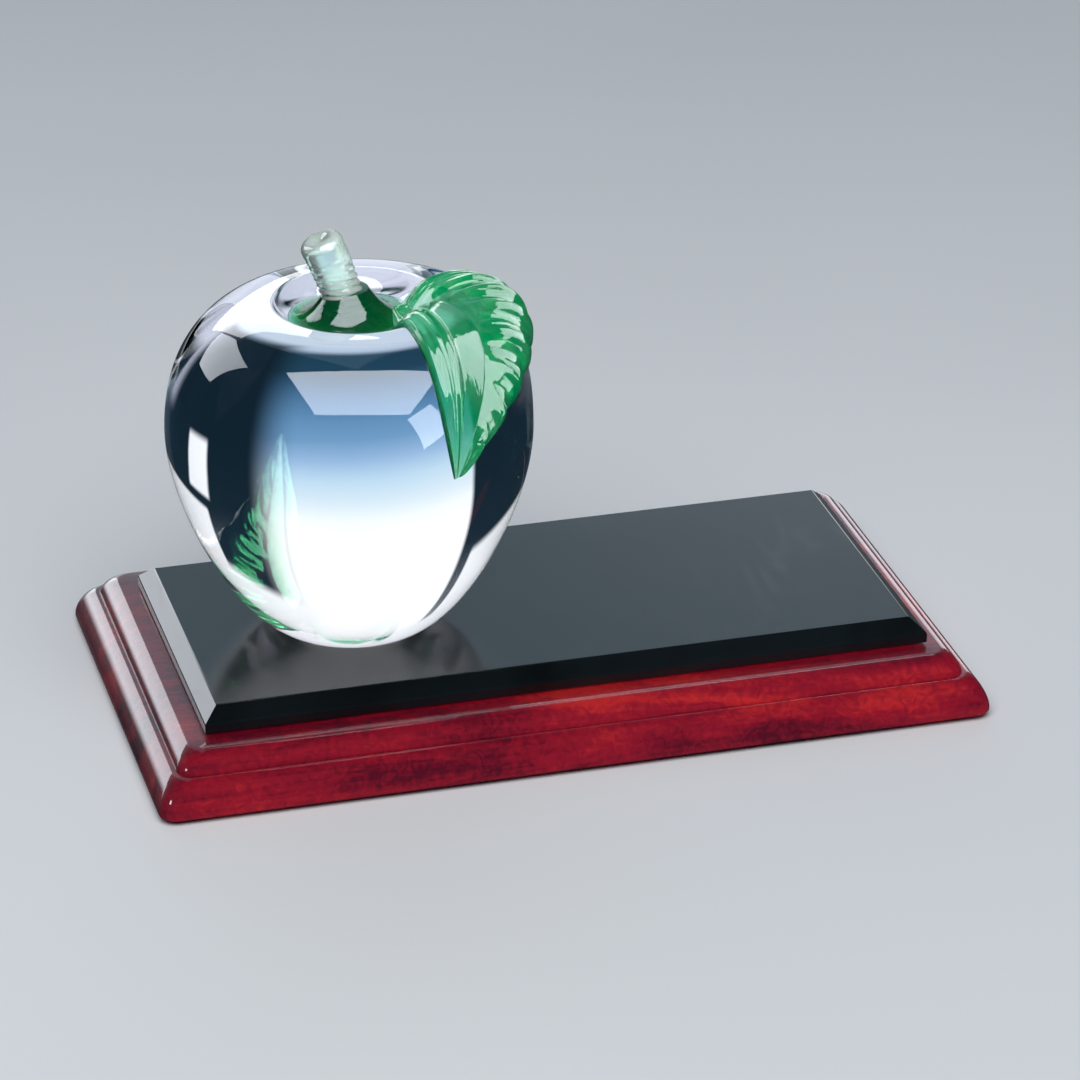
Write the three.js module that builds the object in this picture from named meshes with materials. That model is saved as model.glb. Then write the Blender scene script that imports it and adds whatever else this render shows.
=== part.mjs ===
// Apple paperweight: a solid crystal apple with an applied green glass stem and leaf, bonded near one end
// of a bevelled black glass slab, which is taped to a moulded and lacquered wooden plinth on a felt pad.
// Millimetres, +Z up, +X along the plinth. The origin is under the middle of the felt.
import * as THREE from 'three';

// Felt pad
const FELT_THICKNESS = 0.8;
const FELT_INSET = 2.5;

// Plinth: the moulding runs from the ledge round the slab down to the widest edge at the bottom
const PLINTH_LENGTH = 177.8;
const PLINTH_WIDTH = 99.4;
const PLINTH_HEIGHT = 11.8;
const PLINTH_CORNER_RADIUS = 2.4;
const UPPER_ROUND_WIDTH = 3.7;
const UPPER_ROUND_HEIGHT = 4.2;
const STEP_WIDTH = 0.6;
const LOWER_ROUND_WIDTH = 4.1;
const UPRIGHT_EDGE = 1.2;
const ROUND_FULLNESS = 1.5;
const BOTTOM_EASE = 0.6;

// Slab, set by hand a little off the plinth's middle, and its tape
const SLAB_LENGTH = 155;
const SLAB_WIDTH = 71.2;
const SLAB_TO_RIGHT = 0.6;
const SLAB_TO_FRONT = 1.2;
const SLAB_THICKNESS = 5;
const BEVEL_WIDTH = 3.1;
const BEVEL_DROP = 2.9;
const TAPE_THICKNESS = 0.5;
const TAPE_WIDTH = 12;
const TAPE_END_MARGIN = 8;
const TAPE_SIDE_MARGIN = 9;

// Apple: a revolved outline whose crest leans a little towards +X
const APPLE_FROM_SLAB_END = 38.9;
const APPLE_OFF_CENTRE = -1.6;
const APPLE_DIAMETER = 76.2;
const APPLE_HEIGHT = 72;
const GIRTH_HEIGHT = 44.3;
const FOOT_DIAMETER = 26.4;
const CREST_DIAMETER = 35.8;
const DIMPLE_DEPTH = 10;
const CREST_LEAN = 2.2;
const FOOT_FULLNESS = 9.6;
const BELLY_FULLNESS = 17;
const SHOULDER_FULLNESS = 25.3;
const CREST_FULLNESS = 6;
const DIMPLE_RIM_FULLNESS = 4;
const DIMPLE_FLOOR_FULLNESS = 10;
const BOND_THICKNESS = 0.2;
const BOND_MARGIN = 1.2;

// Stem: a pool of green glass in the dimple, drawn up into a leaning rod with rings at its foot
const FUSED_GAP = 0.3;
const POOL_DEPTH = 5.6;
const STEM_DIAMETER = 8.6;
const STEM_KNOB = 0.15;
const FLARE_HEIGHT = 3;
const STEM_RISE = 14.2;
const STEM_REACH = 5;
const STEM_BEND = 1.6;
const STEM_BEND_RISE = 6;
const STEM_RINGS = 4;
const STEM_RING_DEPTH = 0.35;
const STEM_RINGED_LENGTH = 6;
const RING_FADE_LENGTH = 2;
const STEM_TIP_ROUND = 1.7;
const STEM_TIP_HOLLOW = 0.6;

// Leaf: laid out flat along its own length, then wrapped over the apple from the edge of the dimple
const LEAF_BASE_REACH = 7;
const LEAF_BASE_TURN = -4;
const LEAF_TURN = -75.3;
const LEAF_LENGTH = 52;
const MIDRIB_BASE_PULL = new THREE.Vector2(6, 13);
const MIDRIB_TIP_PULL = new THREE.Vector2(34, 9);
const NEAR_EDGE_BASE_PULL = new THREE.Vector2(8, -5);
const NEAR_EDGE_TIP_PULL = new THREE.Vector2(32, -8.5);
const FAR_EDGE_BASE_PULL = new THREE.Vector2(-9, 48);
const FAR_EDGE_TIP_PULL = new THREE.Vector2(21, 30.5);
const LEAF_THICKNESS = 1.5;
const LEAF_SWELL = 2.2;
const LEAF_END_FULLNESS = 0.5;
const SWELL_PLACE = 0.42;
const LEAF_VEINS = 9;
const VEIN_SLANT = 0.22;
const VEIN_HEIGHT = 0.6;
const VEIN_PLACE = 0.25;
const TOOTH_LENGTH = 1.4;
const TOOTH_SHARPNESS = 4;

// Facets
const ROUND_STEPS = 56;
const STEM_SIDES = 24;
const CURVE_STEPS = 15;
const CORNER_STEPS = 5;
const ROUND_SECTION_STEPS = 7;
const LEAF_STEPS = 56;
const LEAF_HALF_STEPS = 9;

// Levels and places that follow from the sizes
const plinthTop = FELT_THICKNESS + PLINTH_HEIGHT;
const mouldingWidth = UPPER_ROUND_WIDTH + STEP_WIDTH + LOWER_ROUND_WIDTH;
const slabBottom = plinthTop + TAPE_THICKNESS;
const slabTop = slabBottom + SLAB_THICKNESS;
const slabMiddle = new THREE.Vector2(SLAB_TO_RIGHT, -SLAB_TO_FRONT);
const appleFromMiddle = new THREE.Vector2(APPLE_FROM_SLAB_END - SLAB_LENGTH / 2, APPLE_OFF_CENTRE);
const appleAxis = slabMiddle.clone().add(appleFromMiddle);
const appleBottom = slabTop + BOND_THICKNESS;

// Materials
const finish = (color, roughness, metalness = 0) =>
  new THREE.MeshStandardMaterial({ color, roughness, metalness });
const darkFelt = finish(0x1d1f24, 0.95);
const redLacquer = finish(0x7a1026, 0.12);
const blackGlass = finish(0x10181c, 0.05);
const clearCrystal = finish(0xe8f2f6, 0.02);
const greenGlass = finish(0x0f9a5c, 0.05);
const paleTape = finish(0xd8d4c8, 0.8);
const clearGlue = finish(0xdfe6e4, 0.3);

const object = new THREE.Group();

function addPiece(name, geometry, material) {
  const piece = new THREE.Mesh(geometry, material);
  piece.name = name;
  object.add(piece);
  return piece;
}

// A closed skin over a stack of rings, each with as many points, with a fan of faces at each end.
// The rings' points run anticlockwise seen from where the last ring lies.
function loftRings(rings) {
  const count = rings[0].length;
  const points = rings.flat();
  const index = [];
  for (let ring = 0; ring + 1 < rings.length; ring += 1) {
    for (let side = 0; side < count; side += 1) {
      const here = ring * count + side;
      const next = ring * count + ((side + 1) % count);
      index.push(here, next, next + count, here, next + count, here + count);
    }
  }
  const capRing = (ring, turned) => {
    const middle = new THREE.Vector3();
    ring.forEach((point) => middle.addScaledVector(point, 1 / count));
    const first = points.indexOf(ring[0]);
    const centre = points.push(middle) - 1;
    for (let side = 0; side < count; side += 1) {
      const here = first + side;
      const next = first + ((side + 1) % count);
      index.push(centre, turned ? next : here, turned ? here : next);
    }
  };
  capRing(rings[0], true);
  capRing(rings[rings.length - 1], false);
  const geometry = new THREE.BufferGeometry().setFromPoints(points);
  geometry.setIndex(index);
  geometry.computeVertexNormals();
  return geometry;
}

// A level rectangle with rounded corners, anticlockwise from above. A radius of 0 gives sharp corners.
function rectangleRing(length, width, radius, z) {
  const steps = radius > 0 ? CORNER_STEPS : 0;
  const ring = [];
  for (let corner = 0; corner < 4; corner += 1) {
    const toRight = corner === 0 || corner === 3 ? 1 : -1;
    const toBack = corner < 2 ? 1 : -1;
    for (let step = 0; step <= steps; step += 1) {
      const turn = (Math.PI / 2) * (corner + (steps ? step / steps : 0));
      const x = toRight * (length / 2 - radius) + radius * Math.cos(turn);
      const y = toBack * (width / 2 - radius) + radius * Math.sin(turn);
      ring.push(new THREE.Vector3(x, y, z));
    }
  }
  return ring;
}

// A quarter round in a section, from its start, level or upright, to its end. A fullness of 2 gives a quarter
// of an ellipse, and a smaller one a flatter round.
function quarterRound(start, end, levelFirst, fullness = 2) {
  const points = [];
  for (let step = 0; step <= ROUND_SECTION_STEPS; step += 1) {
    const turn = (Math.PI / 2) * (step / ROUND_SECTION_STEPS);
    const quick = Math.sin(turn) ** (2 / fullness);
    const slow = 1 - Math.cos(turn) ** (2 / fullness);
    const across = levelFirst ? quick : slow;
    const up = levelFirst ? slow : quick;
    points.push(new THREE.Vector2(start.x + (end.x - start.x) * across, start.y + (end.y - start.y) * up));
  }
  return points;
}

function buildFelt() {
  const inset = 2 * (FELT_INSET + BOTTOM_EASE);
  const ring = rectangleRing(PLINTH_LENGTH - inset, PLINTH_WIDTH - inset, PLINTH_CORNER_RADIUS, 0);
  const geometry = new THREE.ExtrudeGeometry(new THREE.Shape(ring), {
    depth: FELT_THICKNESS,
    bevelEnabled: false,
  });
  addPiece('felt_pad', geometry, darkFelt);
}

// The moulding's section from the bottom up, as distance in from the plinth's widest edge and height.
function mouldingSection() {
  const bottom = FELT_THICKNESS;
  const stepHeight = plinthTop - UPPER_ROUND_HEIGHT;
  const stepInset = LOWER_ROUND_WIDTH;
  const nickInset = stepInset + STEP_WIDTH;
  const lowerStart = new THREE.Vector2(0, bottom + UPRIGHT_EDGE);
  const lowerEnd = new THREE.Vector2(stepInset, stepHeight);
  const upperStart = new THREE.Vector2(nickInset, stepHeight);
  const upperEnd = new THREE.Vector2(mouldingWidth, plinthTop);
  return [
    new THREE.Vector2(BOTTOM_EASE, bottom),
    new THREE.Vector2(0, bottom + BOTTOM_EASE),
    ...quarterRound(lowerStart, lowerEnd, false, ROUND_FULLNESS),
    ...quarterRound(upperStart, upperEnd, false, ROUND_FULLNESS),
  ];
}

function buildPlinth() {
  const rings = mouldingSection().map(({ x: inset, y: z }) =>
    rectangleRing(PLINTH_LENGTH - 2 * inset, PLINTH_WIDTH - 2 * inset, PLINTH_CORNER_RADIUS, z));
  addPiece('plinth', loftRings(rings), redLacquer);
}

function buildTape(name, side) {
  const length = SLAB_LENGTH - 2 * TAPE_END_MARGIN;
  const tape = addPiece(name, new THREE.BoxGeometry(length, TAPE_WIDTH, TAPE_THICKNESS), paleTape);
  const fromMiddle = side * (SLAB_WIDTH / 2 - TAPE_SIDE_MARGIN - TAPE_WIDTH / 2);
  tape.position.set(slabMiddle.x, slabMiddle.y + fromMiddle, plinthTop + TAPE_THICKNESS / 2);
}

function buildSlab() {
  const rings = [
    rectangleRing(SLAB_LENGTH, SLAB_WIDTH, 0, slabBottom),
    rectangleRing(SLAB_LENGTH, SLAB_WIDTH, 0, slabTop - BEVEL_DROP),
    rectangleRing(SLAB_LENGTH - 2 * BEVEL_WIDTH, SLAB_WIDTH - 2 * BEVEL_WIDTH, 0, slabTop),
  ];
  const slab = addPiece('glass_slab', loftRings(rings), blackGlass);
  slab.position.set(slabMiddle.x, slabMiddle.y, 0);
}

function buildBond() {
  const radius = FOOT_DIAMETER / 2 - BOND_MARGIN;
  const geometry = new THREE.CylinderGeometry(radius, radius, BOND_THICKNESS, ROUND_STEPS);
  const bond = addPiece('apple_bond', geometry.rotateX(Math.PI / 2), clearGlue);
  bond.position.set(appleAxis.x, appleAxis.y, slabTop + BOND_THICKNESS / 2);
}

// The apple's outline in its own half section, as radius and height over its foot.
const foot = new THREE.Vector2(FOOT_DIAMETER / 2, 0);
const girth = new THREE.Vector2(APPLE_DIAMETER / 2, GIRTH_HEIGHT);
const crest = new THREE.Vector2(CREST_DIAMETER / 2, APPLE_HEIGHT);
const dimpleFloor = new THREE.Vector2(0, APPLE_HEIGHT - DIMPLE_DEPTH);
const belly = new THREE.CubicBezierCurve(
  foot,
  new THREE.Vector2(foot.x + FOOT_FULLNESS, foot.y),
  new THREE.Vector2(girth.x, girth.y - BELLY_FULLNESS),
  girth,
);
const shoulder = new THREE.CubicBezierCurve(
  girth,
  new THREE.Vector2(girth.x, girth.y + SHOULDER_FULLNESS),
  new THREE.Vector2(crest.x + CREST_FULLNESS, crest.y),
  crest,
);
const dimple = new THREE.CubicBezierCurve(
  crest,
  new THREE.Vector2(crest.x - DIMPLE_RIM_FULLNESS, crest.y),
  new THREE.Vector2(DIMPLE_FLOOR_FULLNESS, dimpleFloor.y),
  dimpleFloor,
);

// How far the hand-shaped apple's upper half leans towards +X at a point of the half section.
function leanAt(radius, height) {
  const rise = Math.max(0, (height - girth.y) / (crest.y - girth.y));
  const reach = Math.min(1, radius / crest.x);
  return CREST_LEAN * rise ** 2 * reach ** 2;
}

function buildApple() {
  const section = [
    new THREE.Vector2(0, 0),
    ...belly.getSpacedPoints(CURVE_STEPS),
    ...shoulder.getSpacedPoints(CURVE_STEPS).slice(1),
    ...dimple.getSpacedPoints(CURVE_STEPS).slice(1),
  ];
  const geometry = new THREE.LatheGeometry(section, ROUND_STEPS).rotateX(Math.PI / 2);
  const position = geometry.getAttribute('position');
  for (let point = 0; point < position.count; point += 1) {
    const radius = Math.hypot(position.getX(point), position.getY(point));
    position.setX(point, position.getX(point) + leanAt(radius, position.getZ(point)));
  }
  const apple = addPiece('apple', geometry, clearCrystal);
  apple.position.set(appleAxis.x, appleAxis.y, appleBottom);
}

// A ring of points round a centre in the plane of two directions.
function roundRing(centre, radius, across, along) {
  return Array.from({ length: STEM_SIDES }, (_, side) => {
    const turn = (2 * Math.PI * side) / STEM_SIDES;
    return centre.clone()
      .addScaledVector(across, radius * Math.cos(turn))
      .addScaledVector(along, radius * Math.sin(turn));
  });
}

// A point at a distance to the right of a section curve's way.
function besideCurve(curve, share, distance) {
  const way = curve.getTangentAt(share);
  return curve.getPointAt(share).add(new THREE.Vector2(way.y, -way.x).multiplyScalar(distance));
}

// The pool's underside follows the dimple, just clear of it, from near the axis out to the pool's level.
const poolLevel = dimpleFloor.y + POOL_DEPTH;
const poolUnderside = [];
for (let step = CURVE_STEPS - 1; step > 0; step -= 1) {
  const point = besideCurve(dimple, step / CURVE_STEPS, FUSED_GAP);
  if (point.y < poolLevel) poolUnderside.push(point);
}
const poolRim = new THREE.Vector2(poolUnderside.at(-1).x, poolLevel);
const rodFoot = new THREE.Vector2(STEM_DIAMETER / 2, poolLevel + FLARE_HEIGHT);

// How high the pool's flared upper face stands at a radius.
function poolTopAt(radius) {
  const inward = THREE.MathUtils.clamp((poolRim.x - radius) / (poolRim.x - rodFoot.x), 0, 1);
  return poolLevel + FLARE_HEIGHT * (1 - Math.sqrt(1 - inward ** 2));
}

// The rod's radius along its length: rings near the foot, and a slight knob at the tip.
function rodRadius(share, length) {
  const along = share * length;
  const ringed = THREE.MathUtils.clamp((STEM_RINGED_LENGTH - along) / RING_FADE_LENGTH, 0, 1);
  const wave = Math.sin((Math.PI * STEM_RINGS * along) / STEM_RINGED_LENGTH) ** 2;
  return STEM_DIAMETER / 2 + STEM_KNOB * share ** 2 - STEM_RING_DEPTH * wave * ringed;
}

function buildStem() {
  const east = new THREE.Vector3(1, 0, 0);
  const north = new THREE.Vector3(0, 1, 0);
  const pool = [...poolUnderside, ...quarterRound(poolRim, rodFoot, true)];
  const rings = pool.map(({ x: radius, y: z }) =>
    roundRing(new THREE.Vector3(leanAt(radius, z), 0, z), radius, east, north));
  const start = new THREE.Vector3(0, 0, rodFoot.y);
  const bend = new THREE.Vector3(-STEM_BEND, 0, rodFoot.y + STEM_BEND_RISE);
  const tip = new THREE.Vector3(-STEM_REACH, 0, rodFoot.y + STEM_RISE);
  const path = new THREE.QuadraticBezierCurve3(start, bend, tip);
  const rodLength = path.getLength();
  const steps = 2 * CURVE_STEPS;
  const acrossAt = (share) => new THREE.Vector3().crossVectors(north, path.getTangentAt(share));
  for (let step = 1; step <= steps; step += 1) {
    const share = step / steps;
    rings.push(roundRing(path.getPointAt(share), rodRadius(share, rodLength), acrossAt(share), north));
  }
  const tipEdge = new THREE.Vector2(rodRadius(1, rodLength), 0);
  const tipRim = new THREE.Vector2(tipEdge.x - STEM_TIP_ROUND, STEM_TIP_ROUND);
  const tipHollow = new THREE.Vector2(tipRim.x / 2, tipRim.y - STEM_TIP_HOLLOW);
  const tipWay = path.getTangentAt(1);
  [...quarterRound(tipEdge, tipRim, false).slice(1), tipHollow].forEach(({ x: radius, y: rise }) => {
    const centre = tip.clone().addScaledVector(tipWay, rise);
    rings.push(roundRing(centre, radius, acrossAt(1), north));
  });
  const stem = addPiece('stem', loftRings(rings), greenGlass);
  stem.position.set(appleAxis.x, appleAxis.y, appleBottom);
}

// The apple's skin from the middle of the dimple over the crest and down the flank, measured along it.
const skin = new THREE.CurvePath();
skin.add(new THREE.CubicBezierCurve(dimple.v3, dimple.v2, dimple.v1, dimple.v0));
skin.add(new THREE.CubicBezierCurve(shoulder.v3, shoulder.v2, shoulder.v1, shoulder.v0));
skin.add(new THREE.CubicBezierCurve(belly.v3, belly.v2, belly.v1, belly.v0));
const dimpleLength = dimple.getLength();

// A place at a height over the glass under the leaf, from its flat map round the apple's axis. The map's
// distance from the axis counts along the skin from the crest, where it equals the crest's own radius.
// Inside the crest the leaf's root is raised clear of the pool.
function overGlass(map, height) {
  const along = (dimpleLength + map.length() - crest.x) / skin.getLength();
  const at = skin.getPointAt(along);
  const way = skin.getTangentAt(along);
  const outward = new THREE.Vector2(-way.y, way.x);
  const place = at.clone().addScaledVector(outward, FUSED_GAP);
  if (at.x < crest.x) place.y = Math.max(place.y, poolTopAt(place.x) + FUSED_GAP);
  place.addScaledVector(outward, height);
  const turn = map.angle();
  const east = place.x * Math.cos(turn) + leanAt(at.x, at.y);
  return new THREE.Vector3(east, place.x * Math.sin(turn), place.y);
}

// The leaf's three lines on its flat map, each from its base to its tip: x along the leaf, y to its far side.
const leafLine = (basePull, tipPull) =>
  new THREE.CubicBezierCurve(new THREE.Vector2(), basePull, tipPull, new THREE.Vector2(LEAF_LENGTH, 0));
const midrib = leafLine(MIDRIB_BASE_PULL, MIDRIB_TIP_PULL);
const nearEdge = leafLine(NEAR_EDGE_BASE_PULL, NEAR_EDGE_TIP_PULL);
const farEdge = leafLine(FAR_EDGE_BASE_PULL, FAR_EDGE_TIP_PULL);

// The leaf's place on the apple's map at a share of its length and of a half's width, from -1 to 1.
// The far edge is cut into teeth that lean towards the tip.
function leafMap(share, side) {
  const edge = side < 0 ? nearEdge : farEdge;
  const flat = midrib.getPoint(share).lerp(edge.getPoint(share), Math.abs(side));
  if (side > 0) {
    const tooth = (LEAF_VEINS * share) % 1;
    const length = TOOTH_LENGTH * tooth * side ** TOOTH_SHARPNESS * (1 - share);
    flat.addScaledVector(edge.getTangent(share), length);
  }
  const base = new THREE.Vector2(LEAF_BASE_REACH, 0);
  const leafTurn = THREE.MathUtils.degToRad(LEAF_TURN);
  base.rotateAround(new THREE.Vector2(), THREE.MathUtils.degToRad(LEAF_BASE_TURN));
  return flat.rotateAround(new THREE.Vector2(), leafTurn).add(base);
}

// A rise over a half's width from 0 at the midrib to 0 at the edge, highest at a place between 0 and 1.
const hump = (half, place) => Math.sin(Math.PI * half ** (Math.log(0.5) / Math.log(place)));

// The leaf's thickness: a valley along the midrib, a swell on each half, and veins on the far half.
function leafHeight(share, side) {
  const half = Math.abs(side);
  const ends = Math.sin(Math.PI * share) ** LEAF_END_FULLNESS;
  const swell = LEAF_SWELL * hump(half, SWELL_PLACE);
  const vein = Math.sin(Math.PI * LEAF_VEINS * (share - VEIN_SLANT * half)) ** 2;
  const veins = side > 0 ? VEIN_HEIGHT * vein * hump(half, VEIN_PLACE) : 0;
  return ends * (LEAF_THICKNESS + swell + veins);
}

function buildLeaf() {
  const rings = [];
  for (let step = 1; step < LEAF_STEPS; step += 1) {
    const share = step / LEAF_STEPS;
    const upper = [];
    const under = [];
    for (let half = -LEAF_HALF_STEPS; half <= LEAF_HALF_STEPS; half += 1) {
      const side = half / LEAF_HALF_STEPS;
      const map = leafMap(share, side);
      upper.push(overGlass(map, leafHeight(share, side)));
      under.push(overGlass(map, 0));
    }
    rings.push([...under, ...upper.reverse()]);
  }
  const leaf = addPiece('leaf', loftRings(rings), greenGlass);
  leaf.position.set(appleAxis.x, appleAxis.y, appleBottom);
}

buildFelt();
buildPlinth();
buildTape('slab_tape_front', -1);
buildTape('slab_tape_rear', 1);
buildSlab();
buildBond();
buildApple();
buildStem();
buildLeaf();

export default object;
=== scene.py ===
"""The apple paperweight dressed for the camera: felt pad, moulded plinth, black glass slab, crystal
apple with its green glass stem and leaf, and the studio round it. The pieces are worked out in
millimetres, as in the part, and the studio in metres."""

import bpy
import numpy as np
from mathutils import Matrix, Vector


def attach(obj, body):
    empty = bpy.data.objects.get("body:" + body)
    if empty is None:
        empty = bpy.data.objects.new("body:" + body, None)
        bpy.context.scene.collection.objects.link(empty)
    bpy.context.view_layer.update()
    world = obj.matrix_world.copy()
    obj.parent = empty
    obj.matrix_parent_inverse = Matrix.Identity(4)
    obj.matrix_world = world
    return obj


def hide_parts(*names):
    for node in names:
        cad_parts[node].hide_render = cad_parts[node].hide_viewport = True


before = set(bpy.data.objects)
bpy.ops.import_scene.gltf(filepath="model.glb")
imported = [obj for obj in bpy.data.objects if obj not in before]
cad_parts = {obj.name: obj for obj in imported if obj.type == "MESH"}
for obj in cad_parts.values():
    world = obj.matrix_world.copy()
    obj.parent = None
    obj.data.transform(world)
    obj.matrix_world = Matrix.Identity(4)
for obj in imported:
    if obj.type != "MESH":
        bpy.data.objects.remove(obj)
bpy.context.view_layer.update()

# Felt pad
# A sheet of charcoal pressed wool felt, die-cut a little smaller than the plinth and glued under
# it, so that the lacquer doesn't stand on the desk. It only shows as a dark line under the board.
MM = 0.001
FELT_LENGTH, FELT_WIDTH, FELT_CORNER, FELT_CORNER_STEPS = 171.6, 93.2, 2.4, 24
FELT_EDGE_INSET = np.array([0.22, 0.06, 0.0, 0.0, 0.05, 0.16])
FELT_EDGE_HEIGHT = np.array([0.0, 0.12, 0.3, 0.55, 0.7, 0.8])
FELT_FUZZ, FUZZ_SEED, NAP_DEPTH = 0.05, 3, 0.4
FELT_DARK, FELT_LIGHT = (0.007, 0.0075, 0.009, 1), (0.022, 0.024, 0.028, 1)


def moulded_rings(length, width, corner, inset, height, steps=12):
    """A rectangle with rounded corners, drawn in by each inset and lifted to each height: a quarter
    circle at each corner, anticlockwise from the right front one, and straight sides between."""
    side = np.repeat([[1, -1], [1, 1], [-1, 1], [-1, -1]], steps, axis=0)
    turn = np.radians(np.linspace(-90, 0, steps) + 90 * np.arange(4)[:, None]).ravel()
    way = np.stack([np.cos(turn), np.sin(turn)], axis=-1)
    straight = np.array([length, width]) / 2 - corner
    flat = side * (straight - inset[:, None, None]) + corner * way
    lift = np.broadcast_to(height[:, None, None], flat[..., :1].shape)
    return np.concatenate([flat, lift], axis=-1)


def skin(name, rings, finish, node, crease=40):
    """Closes a stack of rings into one skin: quads between neighbouring rings, and a fan to the
    middle of the first ring and of the last. The rings run anticlockwise seen from the last one's
    side. Edges that turn by more than the crease, in degrees, stay sharp."""
    rows, around = rings.shape[:2]
    here = np.arange(rows * around).reshape(rows, around)
    after = np.roll(here, -1, axis=1)
    walls = np.stack([here[:-1], after[:-1], after[1:], here[1:]], axis=-1).reshape(-1, 4)
    first_end = np.stack([after[0], here[0], np.full(around, rows * around)], axis=-1)
    last_end = np.stack([here[-1], after[-1], np.full(around, rows * around + 1)], axis=-1)
    middles = [rings[0].mean(axis=0), rings[-1].mean(axis=0)]
    points = np.concatenate([rings.reshape(-1, 3), middles]) * MM
    faces = walls.tolist() + first_end.tolist() + last_end.tolist()
    mesh = bpy.data.meshes.new(name)
    mesh.from_pydata(points.tolist(), [], faces)
    mesh.shade_smooth()
    mesh.set_sharp_from_angle(angle=np.radians(crease))
    mesh.materials.append(finish)
    piece = bpy.data.objects.new(name, mesh)
    bpy.context.scene.collection.objects.link(piece)
    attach(piece, "root")
    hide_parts(node)
    return piece


class Wire:
    """An output of a node tree. Arithmetic on it adds Math nodes, and make adds any other node."""

    def __init__(self, tree, socket=None):
        self.tree, self.socket = tree, socket

    def make(self, kind, settings, sockets, output=0):
        """A node of that kind, its settings set first and then its sockets' values or links."""
        node = self.tree.nodes.new("ShaderNode" + kind)
        for name, value in settings.items():
            if name == "stops":
                ramp = node.color_ramp.elements
                while len(ramp) < len(value):
                    ramp.new(1)
                for stop, (place, colour) in zip(ramp, value):
                    stop.position, stop.color = place, colour
            else:
                setattr(node, name, value)
        for name, value in sockets.items():
            if isinstance(value, Wire):
                self.tree.links.new(value.socket, node.inputs[name])
            else:
                node.inputs[name].default_value = value
        return Wire(self.tree, node.outputs[output] if node.outputs else None)

    def math(self, operation, *values):
        """A Math node of that operation on numbers or wires."""
        return self.make("Math", {"operation": operation}, dict(enumerate(values)))

    def __add__(self, other):
        return self.math("ADD", self, other)

    def __sub__(self, other):
        return self.math("SUBTRACT", self, other)

    def __rsub__(self, other):
        return self.math("SUBTRACT", other, self)

    def __mul__(self, other):
        return self.math("MULTIPLY", self, other)

    def __truediv__(self, other):
        return self.math("DIVIDE", self, other)

    __radd__, __rmul__ = __add__, __mul__

    def noise(self, scale, detail=3.0, distortion=0.0, roughness=0.5):
        """Cloudy noise from 0 to 1 at this wire's place."""
        return self.make("TexNoise", {}, {"Vector": self, "Scale": scale, "Detail": detail,
                                          "Distortion": distortion, "Roughness": roughness})

    def stretched(self, x, y, z):
        """This wire's place with each axis scaled, so that a pattern on it is drawn out."""
        return self.make("VectorMath", {"operation": "MULTIPLY"}, {0: self, 1: (x, y, z)})

    def between(self, low, high):
        """0 below low, 1 above high, and a smooth step between them."""
        return self.make("MapRange", {"interpolation_type": "SMOOTHSTEP"},
                         {"Value": self, "From Min": low, "From Max": high})

    def mixed(self, one, other):
        """One colour where this wire is 0 and the other where it is 1."""
        return self.make("Mix", {"data_type": "RGBA"}, {0: self, 6: one, 7: other}, output=2)

    def bump(self, depth, strength=1.0):
        """The surface's normal, tilted by this wire read as a height, to a depth in millimetres."""
        return self.make("Bump", {}, {"Height": self, "Distance": depth * MM, "Strength": strength})


def new_finish(name):
    """An empty material and the wire of its Object coordinates."""
    finish = bpy.data.materials.new(name)
    finish.use_nodes = True
    finish.node_tree.nodes.clear()
    return finish, Wire(finish.node_tree).make("TexCoord", {}, {}, output="Object")


def end_finish(place, sockets):
    """Ends a material in a Principled surface."""
    place.make("OutputMaterial", {}, {"Surface": place.make("BsdfPrincipled", {}, sockets)})


felt_finish, place = new_finish("pressed_felt")
tufts = place.noise(scale=900, detail=4)
fibres = place.stretched(1, 3.5, 2).noise(scale=2600, detail=3, distortion=1.5)
end_finish(place, {
    "Base Color": (0.6 * tufts + 0.4 * fibres).between(0.3, 0.7).mixed(FELT_DARK, FELT_LIGHT),
    "Roughness": 0.95, "Sheen Weight": 0.35, "Sheen Roughness": 0.5,
    "Normal": (tufts + 0.6 * fibres).bump(NAP_DEPTH),
})
felt_rings = moulded_rings(FELT_LENGTH, FELT_WIDTH, FELT_CORNER, FELT_EDGE_INSET, FELT_EDGE_HEIGHT,
                           FELT_CORNER_STEPS)
fuzz = np.random.default_rng(FUZZ_SEED).normal(0, FELT_FUZZ, felt_rings.shape[:2] + (1,))
felt_rings[..., :2] *= 1 - np.abs(fuzz) / FELT_WIDTH
felt = skin("felt_sheet", felt_rings, felt_finish, "felt_pad")

# Plinth
# A board of figured hardwood with two rounds cut along all four edges, a narrow step between them,
# stained crimson and built up with clear lacquer that is rubbed to a mirror gloss.
PLINTH_LENGTH, PLINTH_WIDTH, PLINTH_CORNER = 177.8, 99.4, 3.6
PLINTH_BOTTOM, BOTTOM_MARGIN, BOTTOM_EASE, UPRIGHT_TOP = 0.8, 0.3, 0.6, 2.0
LOWER_ROUND_WIDTH, STEP_HEIGHT = 4.1, 8.4
STEP_WIDTH, UPPER_ROUND_WIDTH, PLINTH_TOP = 0.6, 3.7, 12.6
ROUND_FULLNESS = 1.5
GRAIN_DEPTH = 0.12
WINE, CRIMSON, EMBER = (0.085, 0.003, 0.014, 1), (0.26, 0.006, 0.02, 1), (0.52, 0.02, 0.022, 1)


def quarter_round(start, end, fullness, steps=20):
    """A round from upright at its start to level at its end: across goes as 1 - cos^p and up as
    sin^p over a quarter turn, with p = 2 / fullness. A fullness of 2 is a quarter ellipse, and
    less is flatter."""
    turn = np.linspace(0, np.pi / 2, steps)
    power = 2 / fullness
    share = np.stack([1 - np.cos(turn) ** power, np.sin(turn) ** power], axis=-1)
    return start + share * (np.array(end) - start)


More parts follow.
